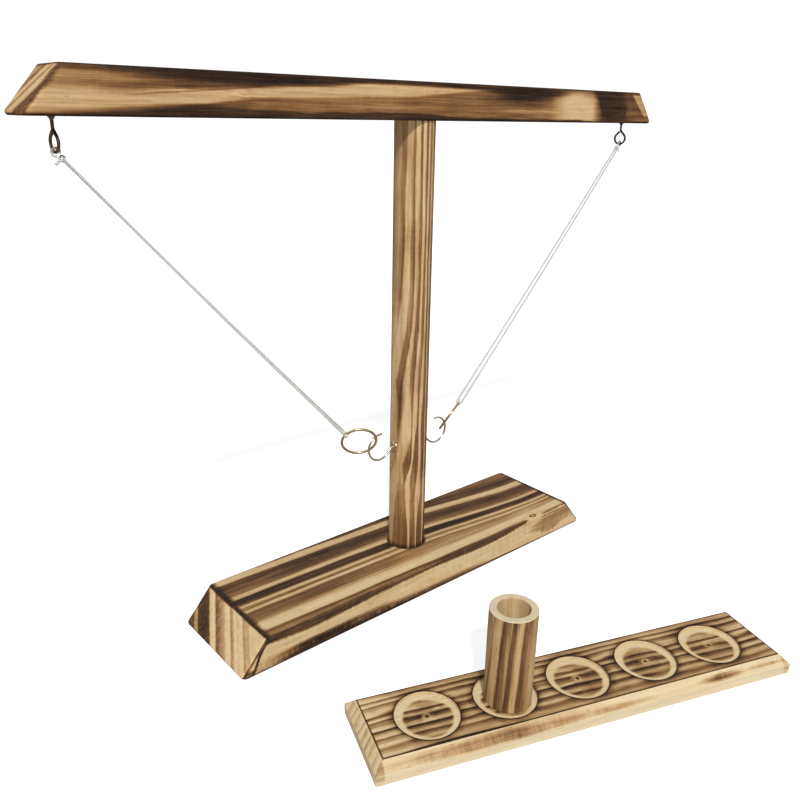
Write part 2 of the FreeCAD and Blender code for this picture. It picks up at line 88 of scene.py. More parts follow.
class Shader:
    """A node material around one Principled surface, with short calls for the nodes that it needs."""

    def __init__(self, name):
        self.material = bpy.data.materials.new(name)
        self.material.use_nodes = True
        self.tree = self.material.node_tree
        self.tree.nodes.clear()
        self.surface = self.node("ShaderNodeBsdfPrincipled")
        output = self.node("ShaderNodeOutputMaterial")
        self.tree.links.new(self.surface.outputs[0], output.inputs["Surface"])

    def node(self, kind, **settings):
        made = self.tree.nodes.new(kind)
        for key, value in settings.items():
            setattr(made, key, value)
        return made

    def put(self, socket, value):
        if isinstance(value, Value):
            self.tree.links.new(value.socket, socket)
        else:
            socket.default_value = value

    def surface_values(self, **values):
        for key, value in values.items():
            self.put(self.surface.inputs[key.replace("_", " ")], value)

    def math(self, operation, *inputs, clamp=False):
        node = self.node("ShaderNodeMath", operation=operation, use_clamp=clamp)
        for socket, value in zip(node.inputs, inputs):
            self.put(socket, value)
        return Value(self, node.outputs[0])

    def low(self, first, second):
        return self.math("MINIMUM", first, second)

    def high(self, first, *others):
        for other in others:
            first = self.math("MAXIMUM", first, other)
        return first

    def clamp(self, value):
        return self.math("ADD", value, 0.0, clamp=True)

    def step(self, value, start, end):
        """0 before start, 1 after end, smooth in between. start may be greater than end."""
        node = self.node("ShaderNodeMapRange", interpolation_type="SMOOTHSTEP")
        for name, item in (("Value", value), ("From Min", start), ("From Max", end)):
            self.put(node.inputs[name], item)
        return Value(self, node.outputs[0])

    def mix(self, amount, first, second):
        """Number between first and second."""
        node = self.node("ShaderNodeMix", data_type="FLOAT")
        for socket, value in zip(node.inputs[0:1] + node.inputs[2:4], (amount, first, second)):
            self.put(socket, value)
        return Value(self, node.outputs[0])

    def mix_colour(self, amount, first, second, blend="MIX"):
        node = self.node("ShaderNodeMix", data_type="RGBA", blend_type=blend)
        self.put(node.inputs[0], amount)
        self.put(node.inputs[6], first)
        self.put(node.inputs[7], second)
        return Value(self, node.outputs[2])

    def point(self):
        """x, y and z of the row frame, in millimetres."""
        coordinate = self.node("ShaderNodeTexCoord")
        parts = self.node("ShaderNodeSeparateXYZ")
        self.tree.links.new(coordinate.outputs["Object"], parts.inputs[0])
        return [Value(self, socket) * 1000.0 for socket in parts.outputs]

    def vector(self, x, y, z):
        node = self.node("ShaderNodeCombineXYZ")
        for socket, value in zip(node.inputs, (x, y, z)):
            self.put(socket, value)
        return Value(self, node.outputs[0])

    def noise(self, x, y, z, detail=2.0, roughness=0.5):
        """Noise about 0, from about -0.5 to 0.5. The coordinates are already scaled to its grain size."""
        node = self.node("ShaderNodeTexNoise")
        self.put(node.inputs["Vector"], self.vector(x, y, z))
        self.put(node.inputs["Scale"], 1.0)
        self.put(node.inputs["Detail"], detail)
        self.put(node.inputs["Roughness"], roughness)
        return Value(self, node.outputs["Fac"]) - 0.5

    def curve(self, value, stops, interpolation="EASE"):
        """Number looked up in a smooth curve through (position, number) stops."""
        if len(stops) > RAMP_LIMIT:
            half = len(stops) // 2
            parts = [self.curve(value, some, interpolation) for some in (stops[:half + 1], stops[half:])]
            return self.mix(self.math("GREATER_THAN", value, float(stops[half][0])), *parts)
        first, length = stops[0][0], stops[-1][0] - stops[0][0]
        node = self.node("ShaderNodeValToRGB")
        node.color_ramp.interpolation = interpolation
        greys = [((position - first) / length, (number,) * 3) for position, number in stops]
        fill_ramp(node.color_ramp, greys)
        self.put(node.inputs[0], (value - first) / length)
        return Value(self, node.outputs[0])

    def outline(self, value, stops, low=0.0, high=1.0):
        """A smooth line through (position, height) stops, whose heights lie between low and high."""
        scaled = [(position, (height - low) / (high - low)) for position, height in stops]
        return self.curve(value, scaled, "CARDINAL") * (high - low) + low

    def colours(self, value, stops):
        node = self.node("ShaderNodeValToRGB")
        fill_ramp(node.color_ramp, stops)
        self.put(node.inputs[0], value)
        return Value(self, node.outputs[0])

    def blob(self, x, y, centre, radii, soft=0.5):
        """1 inside an ellipse, 0 outside it, with a soft edge."""
        across, up = (x - centre[0]) / radii[0], (y - centre[1]) / radii[1]
        return self.step(self.reach(across, up), 1 + soft, 1 - soft)

    def reach(self, *sides):
        """Length of the line whose sides are given."""
        squares = [side * side for side in sides]
        total = squares[0]
        for square in squares[1:]:
            total = total + square
        return self.math("SQRT", total)

    def bump(self, height, distance):
        node = self.node("ShaderNodeBump")
        node.inputs["Strength"].default_value = 1.0
        self.put(node.inputs["Distance"], distance)
        self.put(node.inputs["Height"], height)
        self.put(self.surface.inputs["Normal"], Value(self, node.outputs[0]))


def finished(shader, piece):
    piece.data.materials.clear()
    piece.data.materials.append(shader.material)


# ---------------------------------------------------------------- scorched pine

SCORCH_COLOURS = [
    (0.00, (0.735, 0.61, 0.40)),
    (0.15, (0.615, 0.465, 0.27)),
    (0.34, (0.405, 0.255, 0.122)),
    (0.52, (0.240, 0.127, 0.054)),
    (0.70, (0.122, 0.062, 0.028)),
    (0.85, (0.054, 0.029, 0.016)),
    (1.00, (0.018, 0.011, 0.008)),
]
BARE_WOOD = (0.67, 0.61, 0.47, 1.0)
WARM_TINT = (1.0, 0.88, 0.74, 1.0)
CLEAN_ROUGHNESS, CHARRED_ROUGHNESS = 0.50, 0.70
WOOD_SPECULAR = 0.15
WOOD_RELIEF = 0.3 * MM
BASE_KNOT = (134.0, -45.5, 29.0)  # its place in millimetres
# Blocks with sloped ends: half the top's length, how far an end slopes out, half the width, underside, top.
BASE_BLOCK = (185.5, 25.5, 49.0, 0.0, 30.0)
BEAM_BLOCK = (283.0, 24.5, 19.0, 413.9, 442.7)
SOCKET_RADIUS = 17.6  # of the hole in the base for the post, in millimetres


def finish_wood(shader, scorch, along, across, up, relief=1.0, warmth=0.3, bare=None):
    """Colour, sheen and relief of pine from its scorch: 0 is clean, 1 is charred. On the board's recess floors
    and in the cup's bore, the scorch also carries painted shade and painted light. The next three values are
    the point in millimetres, with the first one along the fibres. Bare is where raw cut wood shows."""
    streak = shader.noise(along * 0.010, across * 0.32, up * 0.32, 4.0, 0.62)
    fibre = shader.noise(along * 0.035, across * 1.0, up * 1.0, 4.0, 0.65)
    fine = shader.noise(along * 0.2, across * 5.0, up * 5.0, 2.0)
    fleck = shader.step(shader.noise(along * 0.12 + 7.0, across * 1.1, up * 1.1, 1.0), 0.18, 0.26)
    ripple = shader.noise(along * 0.55, across * 0.05, up * 0.05, 2.0)
    mottle = shader.noise(along * 0.03 + 3.0, across * 0.06, up * 0.06, 3.0)
    depth = shader.clamp(scorch * 1.2 + 0.34)
    change = streak * 0.56 + fibre * 0.52 + fine * 0.16 + ripple * 0.10 + mottle * 0.20
    scorch = shader.clamp(scorch + depth * change + fleck * 0.16)
    colour = shader.colours(scorch, SCORCH_COLOURS)
    hue = shader.noise(along * 0.02 + 11.0, across * 0.2, up * 0.2, 2.0)
    colour = shader.mix_colour(shader.clamp(hue * 1.5 + warmth), colour, WARM_TINT, "MULTIPLY")
    if bare is not None:
        raw = shader.mix_colour(0.45, BARE_WOOD, colour)
        colour = shader.mix_colour(shader.clamp(bare), colour, raw)
    roughness = shader.mix(scorch, CLEAN_ROUGHNESS, CHARRED_ROUGHNESS) + fibre * 0.2
    shader.surface_values(Base_Color=colour, Roughness=roughness, Specular_IOR_Level=WOOD_SPECULAR)
    height = fibre * 0.6 + fine * 0.25 + streak * 0.5 - fleck * 0.4 - scorch * 0.4
    shader.bump(height, WOOD_RELIEF * relief)


def block_edges(shader, x, y, z, block):
    """Distances in millimetres from a point on a block's surface to its edges and its end faces."""
    half_top, run, half_width, bottom, top = block
    height = top - bottom
    lean = height / math.hypot(height, run)
    to_end = (half_top + run / height * (top - z) - abs(x)) * lean
    to_side = half_width - abs(y)
    to_top, to_bottom = top - z, z - bottom
    return {"long_top": shader.high(to_top, to_side), "long_bottom": shader.high(to_bottom, to_side),
            "end_top": shader.high(to_top, to_end), "end_bottom": shader.high(to_bottom, to_end),
            "corner": shader.high(to_side, to_end), "end_face": to_end}


def base_top_scorch(shader, ring):
    """The rings that run along the base's top, from its front edge to its back edge."""
    return shader.curve(ring, [
        (-60, 0.80), (-50, 0.80), (-48.4, 0.76), (-46.6, 0.50), (-45, 0.44), (-42.6, 0.56), (-41.2, 0.76),
        (-39.9, 0.56), (-38.6, 0.18), (-37, 0.12), (-33, 0.10), (-29, 0.14), (-27, 0.26), (-25.9, 0.42),
        (-24.8, 0.36), (-23.4, 0.56), (-20, 0.60), (-16, 0.60), (-12.5, 0.66), (-10.9, 0.70), (-9.8, 0.28),
        (-8.4, 0.14), (-6.8, 0.20), (-5.6, 0.42), (-4, 0.50), (-2.4, 0.44), (-1.2, 0.22), (0.2, 0.18),
        (1.4, 0.32), (2.5, 0.76), (5, 0.90), (10.3, 0.90), (12.0, 0.70), (13.0, 0.26), (15, 0.18), (17.0, 0.24),
        (18.4, 0.50), (21, 0.64), (25, 0.80), (31, 0.86), (36, 0.80), (38.2, 0.70), (39.5, 0.28), (41, 0.16),
        (46, 0.18), (47.6, 0.34), (49, 0.78), (56, 0.86), (64, 0.70), (70, 0.62)])


def base_front_scorch(shader, x, z, comb, edge_gap):
    """The base's front face: a dark band under the top edge, brown comb marks low down, a brown flame at the
    right and a charred fold at the left. Comb is fine upright noise, edge_gap the way to the sloped end."""
    under = shader.outline(x, [
        (-215, 24.6), (-190, 24.5), (-160, 22.3), (-135, 21.5), (-100, 23), (-60, 24.6), (-20, 25.6), (0, 25.2),
        (30, 23.7), (60, 23), (80, 24), (100, 26), (118, 27.8), (132, 31), (215, 31)], 0.0, 32.0)
    band = shader.step(z - under + comb * 2.2, -1.6, 1.4)
    brown_top = shader.step(z, 27.0, 29.0) * shader.blob(x, z, (-30.0, 30.0), (48.0, 9.0))
    streak = shader.noise(x * 0.012, z * 0.6, 3.0, 3.0, 0.6)
    scorch = shader.mix(band, 0.15 + comb * 0.16, 0.80 - brown_top * 0.28 + streak * 0.5)
    marks = shader.curve(x, [
        (-215, 0.1), (-190, 0.12), (-170, 0.34), (-148, 0.70), (-110, 0.66), (-90, 0.44), (-60, 0.50),
        (-20, 0.40), (20, 0.42), (48, 0.42), (64, 0.12), (110, 0.08), (215, 0)])
    reach = shader.outline(x, [
        (-215, 12), (-160, 12.5), (-100, 12), (-60, 10), (-20, 8.5), (20, 7.8), (50, 7), (80, 5),
        (215, 3)], 0.0, 14.0)
    scorch = scorch + marks * shader.step(z + comb * 5.0, reach + 1.0, reach - 4.5) * (1.1 + comb * 2.2)
    upper_line = shader.step(abs(z - 11.6 - x * 0.004), 0.9, 0.3)
    lower_line = shader.step(abs(z - 9.0), 0.8, 0.3) * 0.7
    lines = shader.high(upper_line, lower_line) * shader.step(abs(x + 112.0), 62.0, 40.0)
    scorch = scorch + lines * 0.26

    middle = shader.outline(x, [(-215, 16), (120, 16), (140, 16.4), (160, 15.5), (180, 18.5),
                                (215, 21)], 0.0, 24.0)
    half = shader.outline(x, [(-215, 0), (116, 0), (130, 3.6), (145, 7.5), (160, 9.8), (180, 8.0),
                              (215, 6)], 0.0, 12.0)
    flame = shader.step(abs(z - middle + comb * 5.0 + streak * 4.0) - half, 2.0, -3.0)
    flame = flame * shader.step(x, 112.0, 150.0)
    scorch = shader.mix(flame, scorch, 0.42 + comb * 0.36 + streak * 0.3)
    flame_edge = shader.step(abs(z - 26.8 - comb * 2.0), 1.0, 0.4) * shader.step(x, 126.0, 140.0)
    scorch = scorch + flame_edge * 0.34

    foot = shader.outline(x, [
        (-215, 1.4), (-165, 2.8), (-140, 5.6), (-100, 4.8), (-80, 3.4), (0, 3.0), (100, 2.8), (150, 1.8),
        (215, 1.2)], 0.0, 8.0)
    scorch = shader.mix(shader.step(z + comb * 1.6, foot + 0.9, foot - 0.7) * 0.9, scorch, 0.88)

    left = shader.step(x, 0.0, -10.0)
    fold = edge_gap - 3.2 - shader.step(z, 22.0, -2.0) * 7.0
    beyond_fold = 0.20 + shader.step(z, 8.0, 5.0) * 0.46 + shader.step(z, 23.0, 26.0) * 0.6
    scorch = shader.mix(shader.step(fold, 0.5, -0.4) * left, scorch, beyond_fold)
    return shader.mix(shader.step(abs(fold), 1.9, 0.5) * left, scorch, 0.92)


def base_wood():
    """Rings along the top that drift towards the front at the right, burnt edges and a small knot."""
    shader = Shader("base_pine")
    x, y, z = shader.point()
    edges = block_edges(shader, x, y, z, BASE_BLOCK)
    broad_sway = shader.noise(x * 0.012, y * 0.04, z * 0.03, 2.0) * 2.2
    sway = broad_sway + shader.noise(x * 0.035, y * 0.12, z * 0.1) * 1.2
    settle = shader.outline(y, [(-50, 0.05), (-40, 0.08), (-34, 0.3), (-27, 0.66), (-14, 0.82), (0, 1),
                                (50, 1)])
    drift = (shader.low(x, 0.0) + 175.0) * 0.034 + shader.step(x, -10.0, 175.0) * 20.5 * settle
    ring = y + drift + sway
    scorch = base_top_scorch(shader, ring)
    faded = shader.blob(x, y, (-160.0, 26.0), (34.0, 9.0), 0.8) * 0.16 + shader.step(x, 20.0, 150.0) * 0.06
    scorch = scorch - faded * shader.step(scorch, 0.5, 0.7)
    tan_by_post = shader.blob(x, ring, (40.0, -19.0), (90.0, 8.0), 0.7)
    tan_at_right = shader.blob(x, ring, (150.0, -30.0), (40.0, 22.0), 0.6)
    scorch = scorch - (tan_by_post + tan_at_right) * 0.22 * shader.step(scorch, 0.3, 0.6)
    lines = shader.noise(x * 0.004, ring * 1.3, 0.0, 3.0, 0.7)
    scorch = scorch + lines * (0.30 + scorch * 0.34)

    comb = shader.noise(x * 0.30, z * 0.05, y * 0.02, 3.0, 0.6)
    edge_gap = (211.0 - abs(x)) - z * 0.85
    front = shader.step(y, -48.0, -48.8)
    scorch = shader.mix(front, scorch, base_front_scorch(shader, x, z, comb, edge_gap))
    end_ring = shader.noise(y * 0.05, z * 0.05, x * 0.05, 2.0) * 2.0 - y + (z - 15.0) * 1.5
    end_scorch = shader.curve(end_ring, [
        (-70, 0.8), (-53, 0.72), (-51.5, 0.36), (-46.5, 0.32), (-45, 0.80), (-36, 0.84), (-26.5, 0.80),
        (-24, 0.30), (-22.4, 0.13), (-15.6, 0.10), (-13.8, 0.40), (-12.8, 0.62), (-8.5, 0.50), (-3, 0.36),
        (1.5, 0.26), (3.4, 0.12), (10.5, 0.10), (12.2, 0.42), (16, 0.34), (17.6, 0.13), (21.6, 0.12),
        (24, 0.20), (26, 0.12), (31.6, 0.14), (33.2, 0.40), (36, 0.28), (42, 0.28), (43.4, 0.14), (60, 0.14)])
    end_face = shader.step(edges["end_face"], 1.2, 0.4)
    scorch = shader.mix(end_face, scorch, end_scorch)

    ragged = shader.noise(x * 0.05, y * 0.05, z * 0.05, 3.0)
    end_top_width = (4.6 + ragged * 8.0) * (1 - end_face * 0.6)
    left_low = shader.blob(x, z, (-120.0, 0.0), (44.0, 6.6), 0.5) * front
    rounded = shader.step(x, 0.0, -10.0) * shader.step(y, -20.0, -30.0) * shader.step(z, 6.0, 9.0)
    char = shader.high(
        shader.step(edges["end_top"], end_top_width, 0.4),
        shader.step(edges["long_bottom"], 2.4 + ragged * 4.0, 0.4),
        left_low * (0.9 + comb * 0.6),
        shader.step(edges["corner"], 2.8 + ragged * 5.0, 0.3) * (0.9 - rounded * 0.9),
        shader.step(edges["end_bottom"], 2.6 + ragged * 5.0, 0.3) * 0.88,
        shader.step(edges["long_top"], 1.4 + ragged * 3.0, 0.2) * 0.7,
        shader.step(shader.reach(x, y), SOCKET_RADIUS + 2.4, SOCKET_RADIUS) * 0.8)
    scorch = shader.mix(shader.clamp(char), scorch, 0.95)

    east, north, rise = x - BASE_KNOT[0], y - BASE_KNOT[1], z - BASE_KNOT[2]
    knot = shader.math("SQRT", east * east * 0.3 + north * north + rise * rise)
    scorch = shader.mix(shader.step(knot, 9.0, 5.0), scorch, 0.16 + lines * 0.3)
    scorch = scorch + shader.step(abs(knot - 2.2 + ragged), 1.0, 0.3) * 0.5
    finish_wood(shader, shader.clamp(scorch), x, y + drift, z)
    return shader


def beam_wood():
    """The back of the beam has the front's figure turned about, so both faces share one set of outlines."""
    shader = Shader("beam_pine")
    x, y, z = shader.point()
    edges = block_edges(shader, x, y, z, BEAM_BLOCK)
    underside = BEAM_BLOCK[3]
    far = shader.step(y, -6.0, 6.0)
    place = x * (1 - far * 2.0)
    sway = shader.noise(place * 0.012, y * 0.05, z * 0.05, 2.0) * 1.6
    ragged = shader.noise(place * 0.03, y * 0.06, z * 0.10, 3.0)
    streaks = shader.noise(place * 0.007, y * 0.2, z * 0.5, 4.0, 0.62)
    height = z - underside + sway

    lower = shader.outline(place, [
        (-310, 1.4), (-290, 2.2), (-260, 3.8), (-230, 6), (-210, 7.4), (-190, 9), (-170, 11), (-150, 13),
        (-120, 13.6), (-90, 14.2), (-60, 15.6), (-20, 17), (0, 18.6), (20, 20.2), (40, 22), (60, 23.6),
        (76, 25), (90, 26)], 0.0, 30.0)
    upper = shader.outline(place, [
        (-310, 14.4), (-270, 16), (-250, 15), (-230, 16.2), (-200, 17.6), (-180, 18.6), (-150, 19.5),
        (-120, 20.8), (-100, 21.6), (-80, 23.2), (-60, 24.4), (-20, 25), (0, 24.7), (40, 24.5), (76, 24.4),
        (90, 23)], 0.0, 30.0)
    soot = shader.outline(place, [
        (-310, 26.6), (-285, 26.0), (-255, 24.6), (-235, 23.0), (-215, 22.0), (-190, 21.8), (-150, 21.8),
        (-120, 22.4), (-90, 23.8), (-60, 25.4), (-20, 25.8), (20, 25.2), (45, 24.4), (62, 23.4), (74, 21.4),
        (86, 18.6), (104, 17), (130, 17.4), (146, 20), (158, 23), (170, 26), (185, 27.4), (204, 27.2),
        (212, 22), (219, 11), (224, 0), (254, 0), (262, 12), (272, 22), (310, 26)], 0.0, 30.0)
    base_dark = shader.outline(place, [
        (-310, 1), (-270, 1.6), (-240, 3.2), (-215, 5.2), (-195, 5.9), (-176, 6.0), (-155, 5.4), (-130, 4.9),
        (-60, 5.0), (0, 5.0), (20, 3.4), (60, 2.8), (140, 2.6), (180, 2.2), (200, 1.2), (310, 2.2)], 0.0, 30.0)

    soft = 1.8 + shader.step(place, -170.0, -260.0) * 2.0 + shader.step(place, 40.0, 130.0) * 1.4
    lens = shader.step(height - lower + streaks * 2.4, soft * -0.5, soft * 0.8)
    lens = lens * shader.step(height - upper + streaks * 2.4, soft * 0.8, soft * -0.6)
    over = shader.curve(place, [(-310, 0.38), (-285, 0.42), (-250, 0.54), (-225, 0.66), (-190, 0.74),
                                (-60, 0.66), (310, 0.64)])
    under = shader.curve(place, [(-310, 0.45), (-250, 0.68), (-200, 0.84), (-172, 0.70), (-150, 0.55),
                                 (-110, 0.52), (-60, 0.50), (0, 0.54), (40, 0.60), (110, 0.62), (138, 0.50),
                                 (160, 0.32), (310, 0.5)])
    brown = shader.mix(shader.step(height - upper, -2.0, 2.0), under, over) + streaks * 0.34
    brown = brown + shader.step(place, 40.0, 90.0) * shader.step(height, 9.0, 18.0) * 0.14
    scorch = shader.mix(lens, brown, 0.20 + streaks * 0.34 + ragged * 0.10)

    pale_line = shader.blob(place, height, (-263.0, 24.4), (36.0, 1.7), 0.8)
    scorch = shader.mix(pale_line * 0.8, scorch, 0.24)
    thread = height - 13.2 - (place + 240.0) * 0.078
    thread = shader.step(abs(thread), 1.0, 0.2) * shader.step(abs(place + 198.0), 56.0, 30.0)
    scorch = scorch + thread * 0.22
    tail = shader.blob(place, height, (130.0, 8.6), (58.0, 2.6), 0.9)
    scorch = shader.mix(tail * 0.6, scorch, 0.24 + streaks * 0.3)
    patch = shader.blob(place + height * 0.35, height, (190.0, 11.0), (34.0, 19.0), 0.55)
    fade = shader.step(place + height * 0.3 + streaks * 50.0, 140.0, 176.0)
    fade = fade * shader.step(place, 219.0, 205.0)
    scorch = shader.mix(patch * (0.25 + fade * 0.75), scorch, 0.13 + streaks * 0.22)

    soot_soft = 1.8 + shader.step(place, -190.0, -250.0) * 3.0 + shader.step(place, 40.0, 100.0) * 4.2
    sooty = shader.step(height - soot + streaks * 3.0, soot_soft * -0.7, soot_soft)
    scorch = shader.mix(sooty, scorch, 0.95 - shader.step(place, -235.0, -275.0) * 0.16)
    scorch = shader.mix(shader.step(height - base_dark + ragged * 3.0, 1.2, -0.8) * 0.92, scorch, 0.90)
    smoky = shader.step(place + ragged * 10.0, 204.0, 229.0)
    smoky = smoky * shader.step(place + height * 0.6, 284.0, 258.0)
    scorch = shader.mix(smoky * 0.85, scorch, 0.90)
    end_brown = shader.step(place + height * 0.5, 262.0, 272.0) * shader.step(height, 2.0, 5.0)
    scorch = shader.mix(end_brown * 0.85, scorch, 0.66 + streaks * 0.5)
    side_gap = 307.5 - place - height * 0.85
    wedge = shader.step(side_gap, 3.2, 5.0) * shader.step(side_gap - height * 0.34, 9.6, 6.6)
    wedge = wedge * shader.step(height, 5.0, 8.0) * shader.step(place, 200.0, 240.0)
    wedge = wedge * shader.step(height, 27.2, 25.4)
    scorch = shader.mix(wedge * 0.9, scorch, 0.22)

    figure = shader.blob(place, height, (-166.0, 14.6), (13.0, 2.8), 0.9)
    swirl = shader.noise(place * 0.12, y * 0.2, height * 0.5 + place * 0.03, 3.0)
    scorch = scorch + figure * swirl * 0.9

    end_face = shader.step(edges["end_face"], 1.6, 0.4)
    leaning = sway * 0.3 - y - (z - 428.3) * 1.1
    end_rings = shader.curve(leaning, [
        (-40, 0.30), (-24, 0.28), (-18.5, 0.34), (-16.5, 0.56), (-13.5, 0.52), (-11, 0.20), (-7, 0.15),
        (-3.5, 0.20), (-1.8, 0.44), (0.6, 0.40), (2.6, 0.16), (9, 0.14), (12.5, 0.22), (15, 0.50),
        (18, 0.74), (24, 0.70), (40, 0.60)])
    end_rings = end_rings + shader.noise(leaning * 0.9, z * 0.02, 0.0, 2.0) * 0.3
    scorch = shader.mix(end_face, scorch, end_rings)

    char = shader.high(
        shader.step(edges["long_top"], 1.4 + ragged * 3.0, 0.2) * 0.92,
        shader.step(edges["long_bottom"], 1.6 + ragged * 3.0, 0.3) * 0.7,
        shader.step(edges["corner"], 3.4 + ragged * 7.0, 0.2) * 0.88,
        shader.step(edges["end_top"], 2.2 + ragged * 5.0, 0.2) * 0.85,
        shader.step(edges["end_bottom"], 1.6 + ragged * 3.0, 0.2) * 0.8,
        shader.step(z, 441.6, 442.5) * (0.85 + ragged))
    scorch = shader.mix(shader.clamp(char), scorch, 0.97)
    finish_wood(shader, shader.clamp(scorch), place, y, z, warmth=0.82)
    return shader


# Pale bands up the post: heights and sides of the middle, heights and half widths, in millimetres.
POST_PALE_BANDS = (
    {"middle": [(20, -22), (190, -19), (200, -14.5), (220, -11.5), (240, -8.2), (260, -6.3), (280, -5),
                (300, -4.4), (340, -3.8), (410, -3.5)],
     "half": [(20, 3), (200, 3.2), (260, 3.0), (300, 2.6), (360, 2.2), (410, 2.2)]},
    {"middle": [(20, -16), (80, -14.5), (100, -12), (120, -7.5), (140, -4), (160, -2), (180, -3),
                (200, -2.6), (220, -0.4), (240, 1.7), (260, 2.9), (280, 3.5), (300, 3.8), (360, 3.0),
                (410, 3.0)],
     "half": [(20, 2), (100, 3.2), (120, 3.6), (145, 4.6), (165, 4.2), (180, 3.4), (200, 2.5), (220, 1.8),
              (245, 1.2), (300, 1.3), (360, 1.6), (410, 1.6)]},
    {"middle": [(20, 2), (60, 1.2), (90, 0), (100, -0.2), (110, 1.8), (120, 3.4), (140, 4.3), (160, 5.3),
                (200, 5.7), (240, 7.7), (300, 8.7), (360, 8.4), (410, 8.2)],
     "half": [(20, 0.8), (45, 0.9), (62, 1.2), (75, 1.6), (90, 2.2), (103, 1.6), (118, 0.5), (140, 1.0),
              (165, 1.7), (200, 1.3), (240, 0.9), (300, 0.8), (410, 1.1)]},
    {"middle": [(20, 8.6), (60, 8.2), (80, 9), (120, 10.2), (160, 10), (200, 11), (240, 12), (410, 12)],
     "half": [(20, 0.4), (45, 0.5), (72, 1.4), (86, 2.0), (100, 1.4), (120, 0.8), (160, 1.1), (200, 1.0),
              (240, 0.6), (410, 0.6)]},
    {"middle": [(20, 14.6), (410, 14.6)],
     "half": [(20, 0.1), (90, 0.8), (110, 0.3), (300, 0.4), (410, 0.4)]},
)
POST_SIDES = (-24.0, 20.0)


def across_dowel(x, y):
    """Side of a point on the post or the cup, in the direction in which their rings follow each other."""
    return x * 0.76 - y * 0.65


def post_wood():
    """Brown pine with pale bands that lean to the left below the middle."""
    shader = Shader("post_pine")
    x, y, z = shader.point()
    side, depth = across_dowel(x, y), x * 0.65 + y * 0.76
    sway = shader.noise(x * 0.06, y * 0.06, z * 0.022, 2.0) * 1.4
    place = shader.math("PINGPONG", side + sway + 16.0, 34.0) - 16.0
    ragged = shader.noise(x * 0.10, y * 0.10, z * 0.03, 3.0)

    tone = shader.curve(z, [(20, 0.62), (50, 0.60), (75, 0.48), (95, 0.44), (118, 0.58), (140, 0.52),
                            (200, 0.48), (410, 0.47)])
    left_tone = shader.curve(z, [(20, 0.58), (50, 0.50), (80, 0.42), (105, 0.26), (150, 0.22), (235, 0.22),
                                 (262, 0.34), (290, 0.40), (410, 0.38)])
    first_band = shader.outline(z, POST_PALE_BANDS[0]["middle"], *POST_SIDES)
    divide = shader.outline(z, [(20, -9), (60, -7), (90, -4), (112, -5), (130, -9), (150, -10), (190, -12),
                                (410, -24)], *POST_SIDES)
    left = shader.step(place - shader.high(first_band + 2.0, divide), 1.0, -1.6)
    scorch = shader.mix(left, tone, left_tone)
    scorch = scorch + shader.step(place, 12.6, 15.6) * shader.step(z, 160.0, 60.0) * 0.10
    for band in POST_PALE_BANDS:
        centre = shader.outline(z, band["middle"], *POST_SIDES)
        width = shader.outline(z, band["half"], 0.0, 6.0) + 0.15
        inside = shader.step(abs(place - centre) / width + ragged * 0.5, 1.45, 0.65)
        rim = shader.step(abs(place - centre + width * 1.35) - 0.2, 1.1, 0.0) * shader.step(z, 60.0, 120.0)
        scorch = shader.mix(inside, scorch + rim * 0.09, 0.17 + ragged * 0.2)
    for centre, radii, change in (((-8.6, 177.0), (3.2, 20.0), 0.22), ((-7.6, 300.0), (1.2, 80.0), 0.10),
                                  ((-1.0, 116.0), (2.6, 16.0), 0.06), ((-12.0, 352.0), (1.8, 46.0), -0.12)):
        scorch = scorch + shader.blob(place, z, centre, radii, 0.8) * change
    scorch = scorch + shader.step(z, 35.0, 30.4) * 0.24 + ragged * 0.16 + 0.03
    finish_wood(shader, shader.clamp(scorch), z, side, depth, warmth=0.42)
    return shader


# The ladder board's turn and centre, and its row of recesses in the board's own directions, in millimetres.
BOARD_TURN = math.radians(-20.1)
BOARD_CENTRE = (-14.8, -219.8)
RECESS_PITCH = 62.2
RECESS_ROW = (-0.5, -1.1)
RECESS_RADIUS = 24.0
RING_SPACING = 7.8


